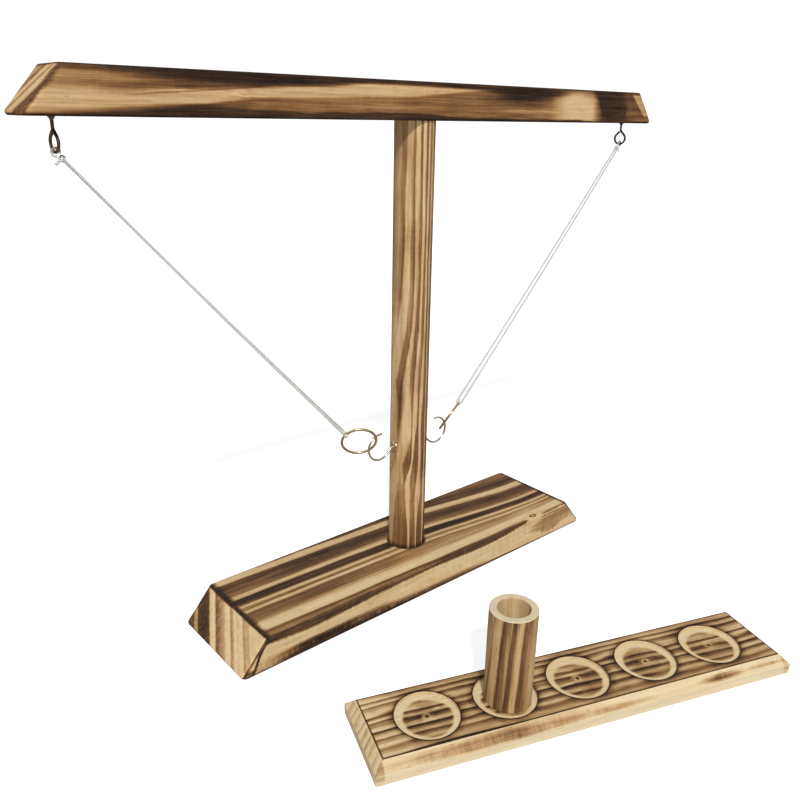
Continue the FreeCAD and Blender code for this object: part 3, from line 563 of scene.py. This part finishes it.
def board_wood():
    """Wavy rings on the top, a burnt line round it and round each recess, and bare bevels with a few stains."""
    shader = Shader("board_pine")
    x, y, z = shader.point()
    east, north = x - BOARD_CENTRE[0], y - BOARD_CENTRE[1]
    u = east * math.cos(BOARD_TURN) + north * math.sin(BOARD_TURN)
    v = north * math.cos(BOARD_TURN) - east * math.sin(BOARD_TURN)
    broad_sway = shader.noise(u * 0.011, v * 0.02, z * 0.02, 2.0) * 9.0
    sway = broad_sway + shader.noise(u * 0.04, v * 0.10, z * 0.05) * 2.6
    crowding = shader.noise(0.0, v * 0.09 + 4.0, 0.0, 1.0) * 9.0
    ring = (v + sway + (15.0 - z) * 0.7 + crowding + 60.0) / RING_SPACING
    place = shader.math("FRACT", ring)
    number = shader.node("ShaderNodeTexWhiteNoise", noise_dimensions="1D")
    shader.put(number.inputs["W"], shader.math("FLOOR", ring))
    strength = 0.62 + Value(shader, number.outputs["Value"]) * 0.5
    grain = shader.curve(place, [
        (0, 0.34), (0.12, 0.10), (0.36, 0.14), (0.62, 0.42), (0.84, 0.74), (0.94, 0.66), (1, 0.34)]) * strength
    along, across = u - RECESS_ROW[0], v - RECESS_ROW[1]
    cell = shader.math("ROUND", along / RECESS_PITCH)
    offset = along - shader.low(shader.high(cell, -2.0), 2.0) * RECESS_PITCH
    radius = shader.reach(offset, across)
    disc_radius = shader.reach(offset, across + 1.8)
    ragged = shader.noise(u * 0.06, v * 0.06, z * 0.05, 3.0)
    broad = shader.noise(u * 0.018, v * 0.03, z * 0.05, 2.0)
    scorch = grain * (1.0 + ragged * 0.6) + 0.11 + broad * 0.30 - shader.step(u, -118.0, -168.0) * 0.18
    scorch = scorch - shader.step(u, 140.0, 168.0) * 0.05
    scorch = scorch + shader.step(radius, RECESS_RADIUS + 6.0 + ragged * 9.0, RECESS_RADIUS) * 0.26
    scorch = scorch + shader.step(v, -20.0, -30.0) * 0.12 + shader.step(v, 22.0, 30.0) * 0.14
    from_edge = shader.low(168.5 - abs(u), 30.0 - abs(v))
    scorch = shader.mix(shader.step(from_edge, 1.5 + ragged * 1.6, 0.3) * 0.85, scorch, 0.92)
    burnt_rim = shader.step(radius, RECESS_RADIUS + 1.8 + ragged * 2.0, RECESS_RADIUS + 0.2)
    scorch = shader.mix(burnt_rim * 0.94, scorch, 0.96)

    disc = shader.step(disc_radius + ragged * 3.4, 19.8, 16.8)
    light = shader.step(shader.noise(u * 0.05 + 5.0, v * 0.45, z, 2.0), 0.04, 0.2)
    floor_scorch_and_shade = 0.05 + disc * (grain * 0.95 + 0.16 + ragged * 0.4 - light * 0.22)
    scuff = shader.step(radius + shader.noise(x * 0.5, y * 0.5, z, 3.0) * 9.0, 5.2, 2.4)
    floor_scorch_and_shade = shader.mix(scuff * 0.7, floor_scorch_and_shade, 0.20)
    drill_mark = shader.step(radius, 1.9, 1.4) * shader.step(z, 13.4, 12.9)
    # Painted shade: a thin dark line round the recess floor, in the corner where it meets the wall.
    recess_corner_shade = shader.step(radius, RECESS_RADIUS - 0.4, RECESS_RADIUS - 0.1) * shader.step(z, 13.8, 13.4)
    floor_scorch_and_shade = floor_scorch_and_shade + drill_mark * 0.45 + recess_corner_shade * 0.2
    in_recess = shader.step(z, 14.95, 14.8) * shader.step(radius, RECESS_RADIUS + 0.3, RECESS_RADIUS + 0.05)
    scorch = shader.mix(in_recess, scorch, floor_scorch_and_shade)

    bevel = shader.step(z, 14.92, 14.7) * (1 - in_recess)
    ripple = shader.noise(u * 0.5, v * 0.02, z * 0.1, 2.0)
    at_end = shader.step(abs(u), 168.0, 170.0)
    side_tone = 0.05 + grain * 0.08 + at_end * grain * 0.30
    stain = shader.high(
        shader.blob(u, z, (-75.0, 10.7), (66.0, 3.0), 0.7) * 0.36,
        shader.blob(u, z, (5.0, 10.2), (32.0, 1.6), 0.7) * 0.22,
        shader.blob(u, z, (109.0, 11.2), (16.0, 1.6), 0.7) * 0.46,
        shader.blob(u, z, (153.0, 11.4), (16.0, 0.9), 0.6) * 0.22)
    stain = stain * shader.step(v, -29.0, -30.5) * (1 + ripple * 0.9 + ragged * 2.0)
    scorch = shader.mix(bevel, scorch, side_tone + stain)
    upright = shader.step(z, 8.6, 8.1) * 0.36 * (1 - at_end * 0.5)
    bare = bevel * shader.clamp(0.34 + upright - at_end * 0.24 - stain * 1.6)
    finish_wood(shader, scorch, u, v, z, relief=0.8, warmth=0.25, bare=bare)
    return shader


def cup_wood():
    """Slanting rings outside, with a pale bore that is partly clean drilled wood and partly painted light
    against its shade, and a bare rim.
    """
    shader = Shader("cup_pine")
    x, y, z = shader.point()
    low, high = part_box("cup")
    east, north = x - (low[0] + high[0]) / 2 / MM, y - (low[1] + high[1]) / 2 / MM
    top = high[2] / MM
    sway = shader.noise(x * 0.05, y * 0.05, z * 0.02, 2.0) * 1.8
    ring = across_dowel(east, north) + sway - (z - 50.0) * 0.040
    scorch = shader.curve(ring, [
        (-20, 0.40), (-16.6, 0.36), (-15.9, 0.55), (-15, 0.34), (-13.5, 0.27), (-11.4, 0.28), (-10.6, 0.55),
        (-10, 0.72), (-8.4, 0.62), (-5.4, 0.46), (-4.6, 0.44), (-4.1, 0.78), (-2, 0.72), (-0.6, 0.46),
        (0.8, 0.28), (3.2, 0.24), (4.1, 0.40), (4.8, 0.68), (7, 0.62), (10, 0.46), (12.5, 0.32), (15, 0.30),
        (18, 0.35)])
    radius = shader.reach(east, north)
    ragged = shader.noise(x * 0.1, y * 0.1, z * 0.03, 3.0)
    scorch = scorch + ragged * 0.16
    inside = shader.step(radius, 12.7, 12.4)
    # The bore is made nearly clean wood: partly its own drilled colour, and partly painted light that lifts it
    # against the shade inside.
    scorch = shader.mix(inside, scorch, scorch * 0.2 + 0.06)
    rim = shader.step(z, top - 0.75, top - 0.35) * (1 - inside)
    scorch = shader.mix(rim, scorch, scorch * 0.18 + 0.03)
    finish_wood(shader, scorch, z, x, y, bare=rim * 1.2)
    return shader


# ---------------------------------------------------------------- metals and cord

def metal(name, colour, roughness, tarnish):
    """Plated or solid wire with an uneven sheen and darker tarnish."""
    shader = Shader(name)
    x, y, z = shader.point()
    cloud = shader.noise(x * 0.35, y * 0.35, z * 0.35, 4.0, 0.6)
    grit = shader.noise(x * 4.0, y * 4.0, z * 4.0, 3.0)
    stained = shader.step(cloud, 0.02, 0.3)
    base = shader.mix_colour(stained * 0.7, (*colour, 1.0), (*tarnish, 1.0))
    shader.surface_values(Base_Color=base, Metallic=1.0, Roughness=roughness + stained * 0.16 + grit * 0.12)
    shader.bump(grit, 0.03 * MM)
    return shader


def cotton(name, light, shade):
    """White twisted cotton, with fine yarns and a little fuzz in its sheen."""
    shader = Shader(name)
    x, y, z = shader.point()
    yarn = shader.noise(x * 5.0, y * 5.0, z * 5.0, 3.0, 0.6)
    soil = shader.noise(x * 0.1, y * 0.1, z * 0.1, 2.0)
    colour = shader.mix_colour(shader.clamp(yarn + soil * 0.8 + 0.3), (light, light, light * 0.98, 1.0),
                               (shade, shade, shade * 0.96, 1.0))
    shader.surface_values(Base_Color=colour, Roughness=0.9, Specular_IOR_Level=0.1, Sheen_Weight=0.1,
                          Sheen_Roughness=0.5)
    shader.bump(yarn, 0.1 * MM)
    return shader


# ---------------------------------------------------------------- cord geometry

def spline_points(name, route, resolution=24):
    """Points along the smooth line that a route's control points make, in metres."""
    data = bpy.data.curves.new(name, "CURVE")
    data.dimensions = "3D"
    data.resolution_u = resolution
    spline = data.splines.new("NURBS")
    spline.points.add(len(route) - 1)
    for point, place in zip(spline.points, route):
        point.co = (*place, 1.0)
    spline.order_u = 3
    spline.use_endpoint_u = True
    guide = bpy.data.objects.new(name, data)
    mesh = bpy.data.meshes.new_from_object(guide)
    points = [vertex.co.copy() for vertex in mesh.vertices]
    bpy.data.meshes.remove(mesh)
    bpy.data.objects.remove(guide)
    bpy.data.curves.remove(data)
    return points


def evenly(points, spacing):
    """The same line as points an even distance apart."""
    lengths = [0.0]
    for first, second in zip(points, points[1:]):
        lengths.append(lengths[-1] + (second - first).length)
    count = max(2, round(lengths[-1] / spacing))
    result, index = [], 0
    for step in range(count + 1):
        target = lengths[-1] * step / count
        while index < len(points) - 2 and lengths[index + 1] < target:
            index += 1
        span = lengths[index + 1] - lengths[index]
        result.append(points[index].lerp(points[index + 1], (target - lengths[index]) / span))
    return result


def frames(points):
    """A tangent and a side direction at each point that turns as little as it can."""
    result = []
    tangent = (points[1] - points[0]).normalized()
    side = tangent.orthogonal().normalized()
    for index, point in enumerate(points):
        ahead, behind = points[min(index + 1, len(points) - 1)], points[max(index - 1, 0)]
        new_tangent = (ahead - behind).normalized()
        side = (tangent.rotation_difference(new_tangent) @ side).normalized()
        tangent = new_tangent
        result.append((point, tangent, side))
    return result


def twisted(points, diameter, lay, strands=3, sides=7, wobble=0.0, fray=0.0, seed=0):
    """Vertices and faces of a laid cord that follows the points: strands that wind about the line. With
    fray the strands spread apart over the last stretch, as a frayed end does."""
    chance = random.Random(seed)
    vertices, faces = [], []
    frayed = 4 * diameter
    strand_radius = diameter * 0.27
    offset = diameter * 0.5 - strand_radius
    spacing = (points[1] - points[0]).length
    line = frames(points)
    for strand in range(strands):
        first = len(vertices)
        phase = strand * math.tau / strands
        for index, (point, tangent, side) in enumerate(line):
            other = tangent.cross(side)
            angle = phase + index * spacing / lay * math.tau
            left = (len(line) - 1 - index) * spacing
            spread = 1.0 + (fray * (1 - left / frayed) if left < frayed else 0.0)
            shake = offset * spread * (1 + wobble * chance.uniform(-1, 1))
            outward = side * math.cos(angle) + other * math.sin(angle)
            across = tangent.cross(outward)
            centre = point + outward * shake
            size = strand_radius * (1 + wobble * 0.5 * chance.uniform(-1, 1))
            for corner in range(sides):
                turn = corner * math.tau / sides
                vertices.append(centre + (outward * math.cos(turn) + across * math.sin(turn)) * size)
        for index in range(len(line) - 1):
            for corner in range(sides):
                following = (corner + 1) % sides
                row, next_row = first + index * sides, first + (index + 1) * sides
                faces.append((row + corner, row + following, next_row + following, next_row + corner))
        faces.append(tuple(first + corner for corner in reversed(range(sides))))
        faces.append(tuple(first + (len(line) - 1) * sides + corner for corner in range(sides)))
    return vertices, faces


def mesh_piece(name, vertices, faces, shader):
    mesh = bpy.data.meshes.new(name)
    mesh.from_pydata(vertices, [], faces)
    for polygon in mesh.polygons:
        polygon.use_smooth = True
    mesh.materials.append(shader.material)
    piece = bpy.data.objects.new(name, mesh)
    bpy.context.collection.objects.link(piece)
    return piece


def joined(parts):
    """One list of vertices and faces from several."""
    vertices, faces = [], []
    for some, some_faces in parts:
        faces += [tuple(corner + len(vertices) for corner in face) for face in some_faces]
        vertices += some
    return vertices, faces


CORD_DIAMETER = 2.0 * MM
# The routes of the runs of cord, in millimetres.
ROUTES = {
    "cord_left_a": [(-280.72, 1.28, 389.9), (-202.76, 4.62, 303.49), (-129.12, 7.78, 223.7),
                    (-64.15, 10.56, 154.3)],
    "cord_left_b": [(-280.68, -1.02, 389.86), (-203.45, 1.92, 302.76), (-130.5, 4.7, 222.33),
                    (-66.14, 7.15, 152.36)],
    "cord_right_a": [(277.58, 0.81, 390.45), (199.8, 0.6, 305.51), (126.34, 0.4, 227.12),
                     (61.52, 0.22, 158.95)],
    "cord_right_b": [(278.75, -0.85, 389.37), (201.35, -1.62, 304.08), (128.25, -2.33, 225.36),
                     (63.75, -2.97, 156.89)],
}
# Where each cord passes through its eye and holds its ring, in millimetres, the ring's direction there, the
# eye's turn in degrees and the side towards which the knot's tail points.
HOLDS = {
    "left": {"eye": (-284.0, 0.0, 393.5), "hold": (-65.15, 8.86, 153.33), "tangent": (0.3577, -0.6049, 0.7114),
             "eye_turn": 84.0, "sign": -1},
    "right": {"eye": (281.5, 0.0, 393.5), "hold": (62.64, -1.38, 157.92), "tangent": (0.6614, 0.6652, -0.3466),
              "eye_turn": 78.0, "sign": 1},
}


def cord_strand(name, shader):
    route = [Vector(point) * MM for point in ROUTES[name]]
    line = spline_points(name, route)
    fine = evenly(line, 0.6 * MM)
    length = sum((second - first).length for first, second in zip(fine, fine[1:]))
    vertices, faces = twisted(fine, CORD_DIAMETER * 1.1, 5.4 * MM, wobble=0.05,
                              seed=len(name) + ord(name[-1]))
    piece = mesh_piece(name.replace("cord", "strand"), vertices, faces, shader)
    return piece, fine, length


def eye_knot(side, shader):
    """The cord's loop through the screw eye, a round overhand knot under it and a short frayed tail."""
    data = HOLDS[side]
    eye, hold = Vector(data["eye"]) * MM, Vector(data["hold"]) * MM
    turn = math.radians(data["eye_turn"])
    wire = Vector((math.cos(turn), -math.sin(turn), 0))
    down = (hold - eye).normalized()
    across = wire.cross(down).normalized()
    knot = eye + down * 4.9 * MM
    loop, loop_steps = [], 32
    for index in range(loop_steps + 1):
        angle = math.radians(-150 + index * 300 / loop_steps)
        loop.append(eye - down * math.cos(angle) * 2.5 * MM + across * math.sin(angle) * 2.5 * MM)
    parts = [twisted(evenly(loop, 0.4 * MM), 1.9 * MM, 5 * MM, wobble=0.04, seed=3)]
    ball, ball_steps = [], 120
    for index in range(ball_steps + 1):
        angle = index * math.tau * 2 / ball_steps
        reach = (1.15 + 0.5 * math.cos(1.5 * angle)) * MM
        ball.append(knot + across * math.cos(angle) * reach + wire * math.sin(angle) * reach
                    + down * math.sin(1.5 * angle) * 1.15 * MM)
    parts.append(twisted(evenly(ball, 0.35 * MM), 1.7 * MM, 5 * MM, wobble=0.05, seed=5))
    slant = Vector((data["sign"] * 0.76, 0, -0.65)).normalized()
    tail = [knot + slant * 1.2 * MM, knot + slant * 3.2 * MM + across * 0.2 * MM, knot + slant * 5.8 * MM]
    parts.append(twisted(evenly(spline_points("tail", tail), 0.4 * MM), 1.9 * MM, 5 * MM, wobble=0.06,
                         fray=0.9, seed=9))
    vertices, faces = joined(parts)
    return mesh_piece(f"knot_at_eye_{side}", vertices, faces, shader)


def ring_hitch(side, shader):
    """The lark's head on the ring: two turns round its wire, joined by the bight that lies over both."""
    data = HOLDS[side]
    eye, hold = Vector(data["eye"]) * MM, Vector(data["hold"]) * MM
    tangent = Vector(data["tangent"]).normalized()
    upward = eye - hold
    outward = (upward - tangent * upward.dot(tangent)).normalized()
    normal = tangent.cross(outward)
    radius = 2.15 * MM

    def at(angle, along, swell=1.0):
        turn = math.radians(angle)
        around = (outward * math.cos(turn) + normal * math.sin(turn)) * radius * swell
        return hold + around + tangent * along * MM

    turn_of_cord = [(60, 1.15, 1.1), (95, 1.2), (140, 1.22), (185, 1.22), (230, 1.2), (275, 1.15),
                    (315, 1.1, 1.05), (345, 0.8, 1.3)]
    turn_back = [(angle, -along, *swell) for angle, along, *swell in reversed(turn_of_cord)]
    route = [at(*place) for place in turn_of_cord + [(352, 0.0, 1.42)] + turn_back]
    line = evenly(spline_points("hitch", route), 0.35 * MM)
    vertices, faces = twisted(line, 1.9 * MM, 5 * MM, wobble=0.04, seed=7)
    return mesh_piece(f"hitch_on_ring_{side}", vertices, faces, shader)


def cords():
    """Each doubled cord: two runs, the knot at its eye and the hitch on its ring, all on the cord's body."""
    # The cord is one white cotton in two copies: the runs get a greyer copy, which is painted shade, and the
    # knots and hitches get a paler copy, which is painted light.
    shaded_line_cotton, lit_knot_cotton = cotton("cotton_cord", 0.70, 0.50), cotton("cotton_knot_painted_light", 0.84, 0.66)
    for side in ("left", "right"):
        body = f"cord_{side}"
        knot, hitch = eye_knot(side, lit_knot_cotton), ring_hitch(side, lit_knot_cotton)
        for piece, node in ((knot, f"eye_knot_{side}"), (hitch, f"ring_hitch_{side}")):
            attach(piece, body)
            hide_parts(node)
        for letter in "ab":
            name = f"cord_{side}_{letter}"
            piece, line, length = cord_strand(name, shaded_line_cotton)
            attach(piece, body)
            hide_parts(name)


# ---------------------------------------------------------------- light, floor and camera

CAMERA_PLACE = (-0.4441, -0.5064, 0.4173)
WHITE_BACKDROP = (2.2, 2.2, 2.2, 1)
FLOOR_REACH, FLOOR_HEIGHT = 14.0, -0.6 * MM


def camera():
    data = bpy.data.cameras.new("camera")
    data.lens = 35.37
    data.sensor_width = 36.0
    data.clip_start = 0.01
    item = bpy.data.objects.new("camera", data)
    yaw, pitch, roll = math.radians(40.54), math.radians(19.88), math.radians(0.99)
    ahead = Vector((math.sin(yaw) * math.cos(pitch), math.cos(yaw) * math.cos(pitch), -math.sin(pitch)))
    level = Vector((math.cos(yaw), -math.sin(yaw), 0))
    upright = level.cross(ahead)
    right = level * math.cos(roll) + upright * math.sin(roll)
    up = upright * math.cos(roll) - level * math.sin(roll)
    turn = Matrix((right, up, -ahead)).transposed().to_4x4()
    item.matrix_world = Matrix.Translation(CAMERA_PLACE) @ turn
    bpy.context.collection.objects.link(item)
    bpy.context.scene.camera = item


def surroundings():
    """A white room for the camera, darker cards for reflections, one soft sun and a pale floor that reflections
    show as dark grey, a painted reflection.
    """
    world = bpy.data.worlds.new("studio")
    bpy.context.scene.world = world
    world.use_nodes = True
    tree = world.node_tree
    background = tree.nodes["Background"]
    coordinate = tree.nodes.new("ShaderNodeTexCoord")
    parts = tree.nodes.new("ShaderNodeSeparateXYZ")
    tree.links.new(coordinate.outputs["Generated"], parts.inputs[0])
    path = tree.nodes.new("ShaderNodeLightPath")

    def gradient(stops):
        """Grey that changes with the height of the direction in which a ray leaves."""
        ramp = tree.nodes.new("ShaderNodeValToRGB")
        fill_ramp(ramp.color_ramp, [(position, (grey,) * 3) for position, grey in stops])
        tree.links.new(parts.outputs[2], ramp.inputs[0])
        return ramp.outputs[0]

    def choose(ray, others):
        """A mix whose second colour is for the named kind of ray and whose first is for all others."""
        mix = tree.nodes.new("ShaderNodeMix")
        mix.data_type = "RGBA"
        tree.links.new(path.outputs[ray], mix.inputs[0])
        tree.links.new(others, mix.inputs[6])
        return mix

    sky = gradient([(0.0, 0.45), (0.75, 1.0)])
    cards = gradient([(0.0, 0.10), (0.22, 0.16), (0.36, 1.6), (0.62, 1.9), (0.74, 0.5), (1.0, 0.8)])
    mirrored = choose("Is Glossy Ray", sky)
    tree.links.new(cards, mirrored.inputs[7])
    seen = choose("Is Camera Ray", mirrored.outputs[2])
    seen.inputs[7].default_value = WHITE_BACKDROP
    tree.links.new(seen.outputs[2], background.inputs["Color"])
    background.inputs["Strength"].default_value = 0.48

    sun_data = bpy.data.lights.new("key", "SUN")
    sun_data.energy = 2.65
    sun_data.angle = math.radians(5)
    sun_data.color = (1.0, 0.985, 0.955)
    sun = bpy.data.objects.new("key", sun_data)
    toward = Vector((-0.42, -0.57, 0.71))
    sun.rotation_euler = toward.to_track_quat("Z", "Y").to_euler()
    bpy.context.collection.objects.link(sun)

    floor_mesh = bpy.data.meshes.new("floor")
    corners = [(-FLOOR_REACH, -FLOOR_REACH, FLOOR_HEIGHT), (FLOOR_REACH, -FLOOR_REACH, FLOOR_HEIGHT),
               (FLOOR_REACH, FLOOR_REACH, FLOOR_HEIGHT), (-FLOOR_REACH, FLOOR_REACH, FLOOR_HEIGHT)]
    floor_mesh.from_pydata(corners, [], [(0, 1, 2, 3)])
    floor = bpy.data.objects.new("floor", floor_mesh)
    bpy.context.collection.objects.link(floor)
    shader = Shader("pale_floor")
    rays = shader.node("ShaderNodeLightPath")
    seen, mirrored = (Value(shader, rays.outputs[name]) for name in ("Is Camera Ray", "Is Glossy Ray"))
    # Painted reflection: glossy rays see the floor as dark grey, so the metals mirror a dark floor. Camera rays
    # see it glow evenly white.
    colour = shader.mix_colour(mirrored, (0.80, 0.80, 0.80, 1), (0.22, 0.22, 0.22, 1))
    shader.surface_values(Base_Color=colour, Roughness=0.9, Emission_Color=(1, 1, 1, 1),
                          Emission_Strength=seen * 0.60)
    finished(shader, floor)

    bpy.context.scene.view_settings.view_transform = "Standard"


# ---------------------------------------------------------------- the set

camera()
cords()
for node, shader in (("base", base_wood()), ("beam", beam_wood()), ("post", post_wood()),
                     ("ladder_board", board_wood()), ("cup", cup_wood())):
    finished(shader, NODES[node])
for name, colour, roughness, tarnish, pieces in (
        ("brass", (0.84, 0.64, 0.38), 0.22, (0.45, 0.30, 0.16),
         ("ring_left", "ring_right", "hook_flange_left", "hook_flange_right")),
        ("hook_plate", (0.86, 0.80, 0.66), 0.20, (0.50, 0.43, 0.31), ("hook_left", "hook_right")),
        ("eye_bronze", (0.29, 0.18, 0.125), 0.34, (0.13, 0.08, 0.06), ("screw_eye_left",)),
        ("eye_grey", (0.23, 0.23, 0.235), 0.32, (0.09, 0.085, 0.08), ("screw_eye_right",)),
        ("screw_zinc", (0.70, 0.64, 0.48), 0.30, (0.40, 0.34, 0.24), ("base_screw", "dowel_screw"))):
    plated = metal(name, colour, roughness, tarnish)
    for piece in pieces:
        finished(plated, NODES[piece])
surroundings()
